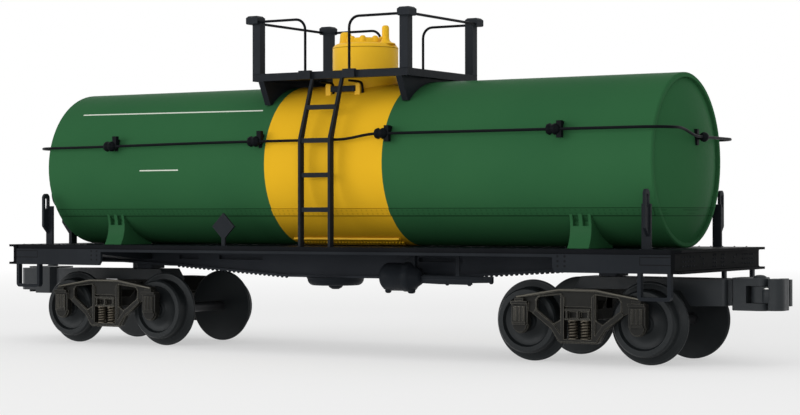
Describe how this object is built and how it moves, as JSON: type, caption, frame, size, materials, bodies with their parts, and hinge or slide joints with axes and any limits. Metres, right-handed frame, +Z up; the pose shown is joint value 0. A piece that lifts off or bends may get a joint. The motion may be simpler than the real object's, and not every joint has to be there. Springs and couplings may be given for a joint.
{
  "type": "model railway tank car",
  "caption": "O gauge model railway tank car: long tank with dome, platform and ladders on a low frame, carried by swivelling trucks with turning wheelsets and opening coupler knuckles.",
  "frame": {"origin": "under the middle of the car, at the lowest point of the wheel flanges", "axes": "+X along the car towards the end without the hand brake, +Y across it towards the far side, +Z up"},
  "size_m": [0.2642, 0.0596, 0.0992],
  "materials": {
    "tank_paint": "satin green",
    "dome_paint": "satin yellow",
    "black_plastic": "satin black",
    "black_wire": "satin black wire",
    "steel_screw": "blackened screw",
    "truck_metal": "dark brown-grey casting",
    "spring_steel": "dark spring steel",
    "coupler_metal": "dark casting",
    "axle_steel": "dull steel",
    "wheel_metal": "blackened metal"
  },
  "bodies": {
    "car_body": {"tank": "tank_paint", "tank_saddles": "tank_paint", "dome": "dome_paint", "dome_fittings": "dome_paint", "tank_anchor": "tank_paint", "walkway": "black_plastic", "walkway_brackets": "black_plastic", "walkway_posts": "black_plastic", "walkway_rails": "black_wire", "ladders": "black_plastic", "tank_handrail": "black_wire", "handrail_stanchions": "black_plastic", "corner_posts": "black_plastic", "deck": "black_plastic", "side_sills": "black_plastic", "end_sills": "black_plastic", "centre_sill": "black_plastic", "floor_bearers": "black_plastic", "king_pins": "steel_screw", "corner_steps": "black_plastic", "brake_cylinder": "black_plastic", "brake_lever": "black_plastic", "outlet_pan": "black_plastic", "air_tank": "black_plastic", "hand_brake_stand": "black_plastic", "hand_brake_wheel": "black_plastic", "placards": "black_plastic"},
    "truck_a": {"side_frames_a": "truck_metal", "truck_bolster_a": "truck_metal", "springs_a": "spring_steel", "coupler_arm_a": "truck_metal"},
    "knuckle_a": {"coupler_knuckle_a": "coupler_metal"},
    "truck_b": {"side_frames_b": "truck_metal", "truck_bolster_b": "truck_metal", "springs_b": "spring_steel", "coupler_arm_b": "truck_metal"},
    "knuckle_b": {"coupler_knuckle_b": "coupler_metal"},
    "wheelset_1": {"axle_1": "axle_steel", "wheels_1": "wheel_metal"},
    "wheelset_2": {"axle_2": "axle_steel", "wheels_2": "wheel_metal"},
    "wheelset_3": {"axle_3": "axle_steel", "wheels_3": "wheel_metal"},
    "wheelset_4": {"axle_4": "axle_steel", "wheels_4": "wheel_metal"}
  },
  "joints": [
    {"name": "truck_a_swivel", "type": "hinge", "parent": "car_body", "child": "truck_a", "pos_m": [-0.0811, 0, 0.01915], "axis": [0, 0, 1], "range_deg": [-12, 12]},
    {"name": "knuckle_a_open", "type": "hinge", "parent": "truck_a", "child": "knuckle_a", "pos_m": [-0.1253, 0.0039, 0.01915], "axis": [0, 0, -1], "range_deg": [0, 35]},
    {"name": "truck_b_swivel", "type": "hinge", "parent": "car_body", "child": "truck_b", "pos_m": [0.0811, 0, 0.01915], "axis": [0, 0, 1], "range_deg": [-12, 12]},
    {"name": "knuckle_b_open", "type": "hinge", "parent": "truck_b", "child": "knuckle_b", "pos_m": [0.1253, -0.0039, 0.01915], "axis": [0, 0, -1], "range_deg": [0, 35]},
    {"name": "wheelset_1_roll", "type": "hinge", "parent": "truck_a", "child": "wheelset_1", "pos_m": [-0.09845, 0, 0.0112], "axis": [0, 1, 0], "continuous": true},
    {"name": "wheelset_2_roll", "type": "hinge", "parent": "truck_a", "child": "wheelset_2", "pos_m": [-0.06375, 0, 0.0112], "axis": [0, 1, 0], "continuous": true},
    {"name": "wheelset_3_roll", "type": "hinge", "parent": "truck_b", "child": "wheelset_3", "pos_m": [0.06375, 0, 0.0112], "axis": [0, 1, 0], "continuous": true},
    {"name": "wheelset_4_roll", "type": "hinge", "parent": "truck_b", "child": "wheelset_4", "pos_m": [0.09845, 0, 0.0112], "axis": [0, 1, 0], "continuous": true}
  ]
}
